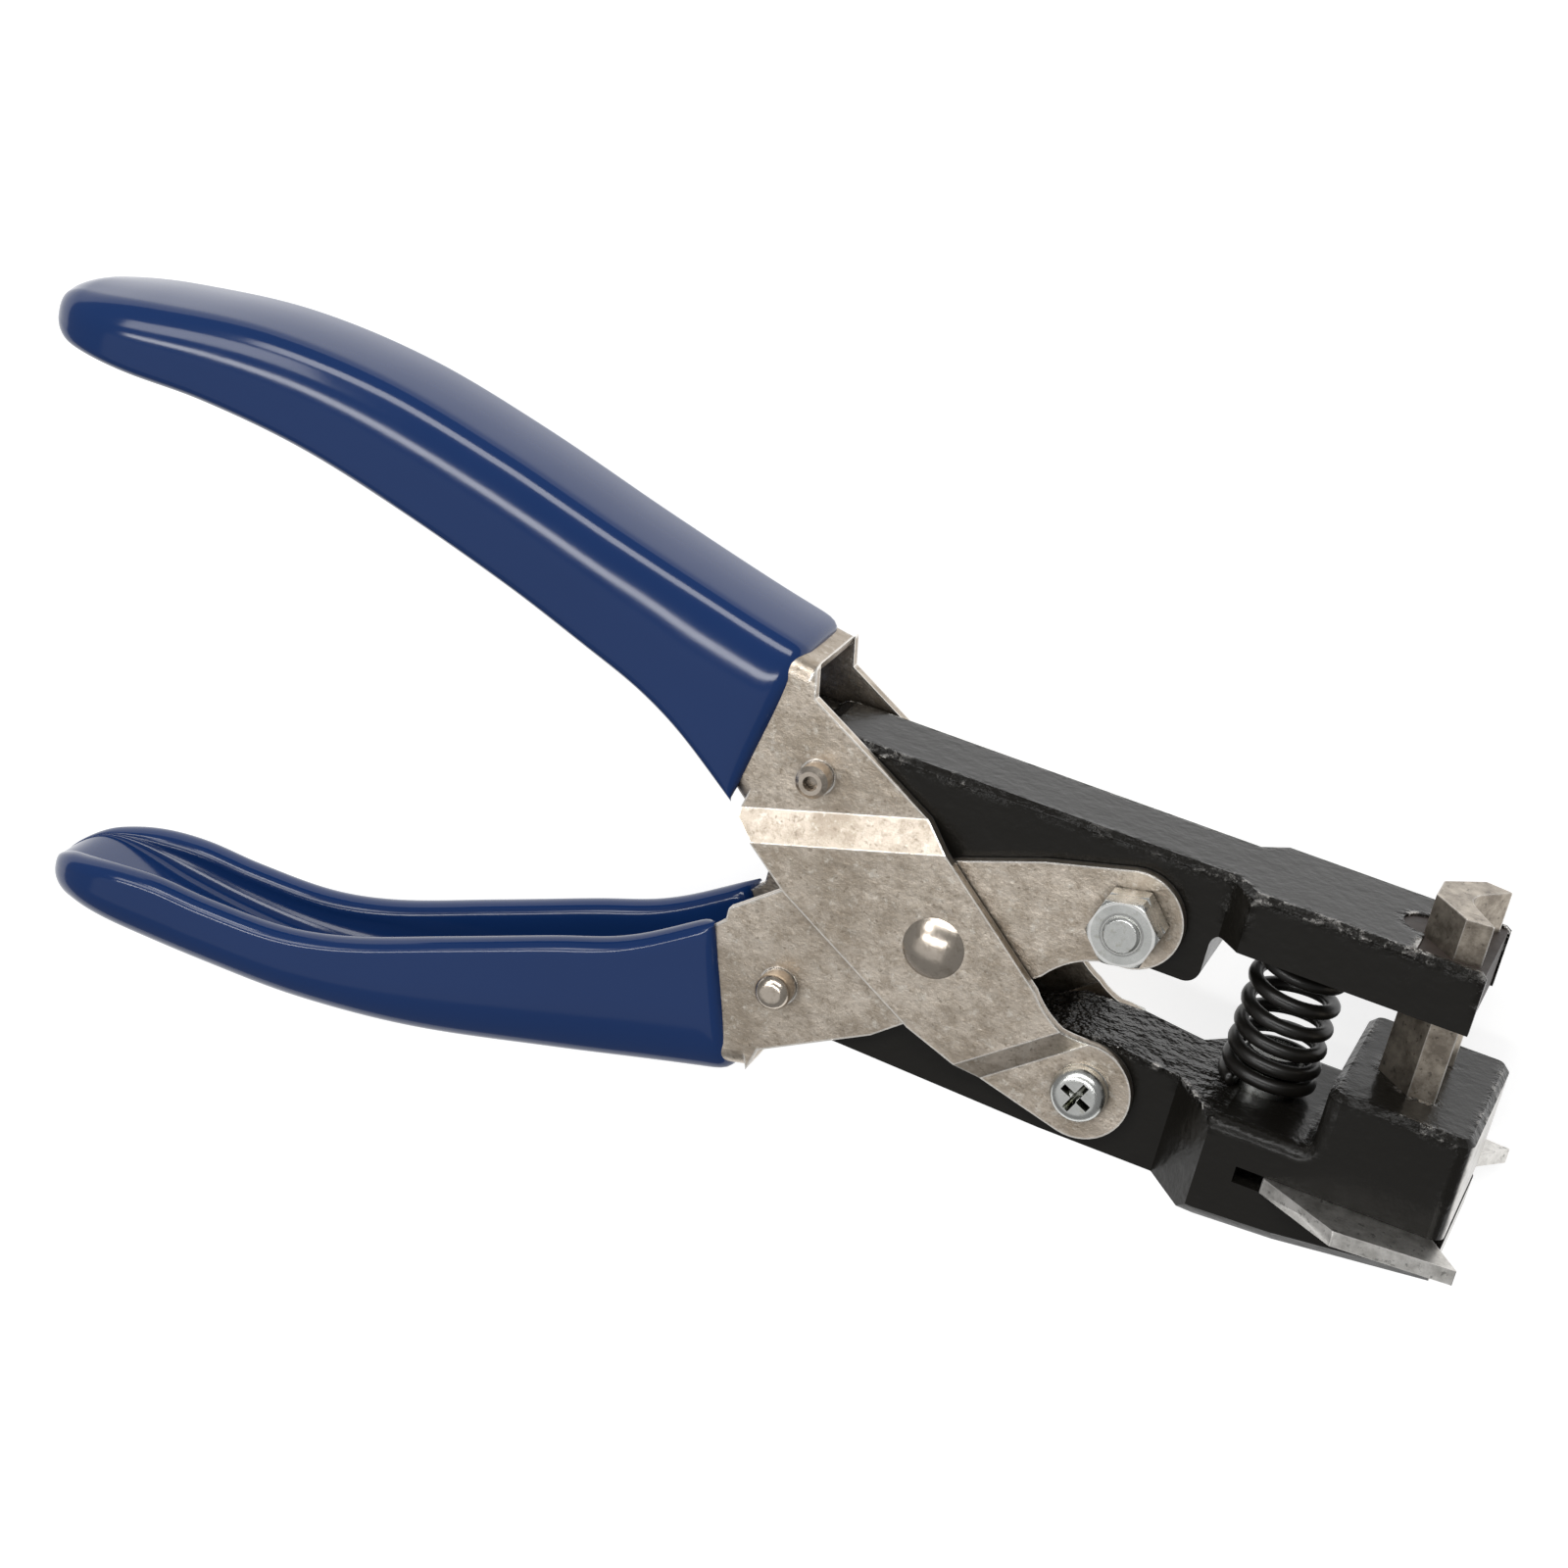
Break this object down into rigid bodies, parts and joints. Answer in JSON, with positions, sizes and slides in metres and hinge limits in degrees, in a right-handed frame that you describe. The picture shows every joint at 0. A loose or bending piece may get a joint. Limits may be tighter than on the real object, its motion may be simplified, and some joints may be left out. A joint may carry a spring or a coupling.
{
  "type": "parallel-jaw hand punch (snap setter pliers)",
  "caption": "Compound-lever parallel-jaw hand punch with dipped grips, a notched punch, V guide plate and coil return spring.",
  "frame": {"origin": "bottom centre of the bounding box, with the tool lying on its side and the jaws open", "axes": "+X along the jaws towards the punch end, +Y the opening direction of the jaws towards the upper jaw, +Z along the pivot pins"},
  "size_m": [0.2056, 0.0858, 0.0424],
  "materials": {
    "black_jaw": "semi-gloss black over a rough forged skin",
    "nickel_plate": "satin nickel plating, faintly mottled",
    "blue_grip": "glossy dipped vinyl",
    "tool_steel": "ground and slightly worn",
    "bright_steel": "ground",
    "zinc": "bright zinc plating",
    "dark_brown": "matte",
    "spring_black": "gloss black",
    "bronze": "plain bearing bronze"
  },
  "bodies": {
    "lower_jaw": {"lower_jaw": "black_jaw", "lower_pivot_bush": "bronze", "guide_plate": "bright_steel", "die_plate": "tool_steel", "plate_screws": "zinc", "spring_post": "zinc", "return_spring": "spring_black"},
    "upper_handle": {"upper_handle": "nickel_plate", "upper_grip": "blue_grip", "pivot_rivet": "nickel_plate", "lower_jaw_screw": "zinc", "lower_screw_nut": "zinc", "lower_screw_washer": "zinc", "rear_upper_pin": "tool_steel", "upper_slot_roller": "tool_steel"},
    "lower_handle": {"lower_handle": "nickel_plate", "lower_grip": "blue_grip", "upper_jaw_bolt": "zinc", "jam_nuts": "zinc", "upper_bolt_washer": "zinc", "rear_lower_pin": "tool_steel", "lower_slot_roller": "tool_steel"},
    "upper_jaw": {"upper_jaw": "black_jaw", "upper_pivot_bush": "bronze", "punch_holder": "dark_brown", "punch": "tool_steel", "punch_cross_pin": "zinc", "spring_cup": "zinc"}
  },
  "joints": [
    {"name": "lower_jaw_pivot", "type": "hinge", "parent": "lower_jaw", "child": "upper_handle", "pos_m": [0.05265, -0.0149, 0.0212], "axis": [0, 0, 1], "range_deg": [0, 10], "deforming": ["return_spring"]},
    {"name": "handle_pivot", "type": "hinge", "parent": "upper_handle", "child": "lower_handle", "pos_m": [0.03055, -0.0031, 0.0212], "axis": [0, 0, 1], "range_deg": [-20, 0]},
    {"name": "upper_jaw_pivot", "type": "hinge", "parent": "lower_handle", "child": "upper_jaw", "pos_m": [0.05265, 0.0087, 0.0212], "axis": [0, 0, 1], "range_deg": [0, 10]}
  ],
  "couplings": [
    {"joint": "handle_pivot", "follows": "lower_jaw_pivot", "ratio": -2},
    {"joint": "upper_jaw_pivot", "follows": "lower_jaw_pivot", "ratio": 1}
  ]
}
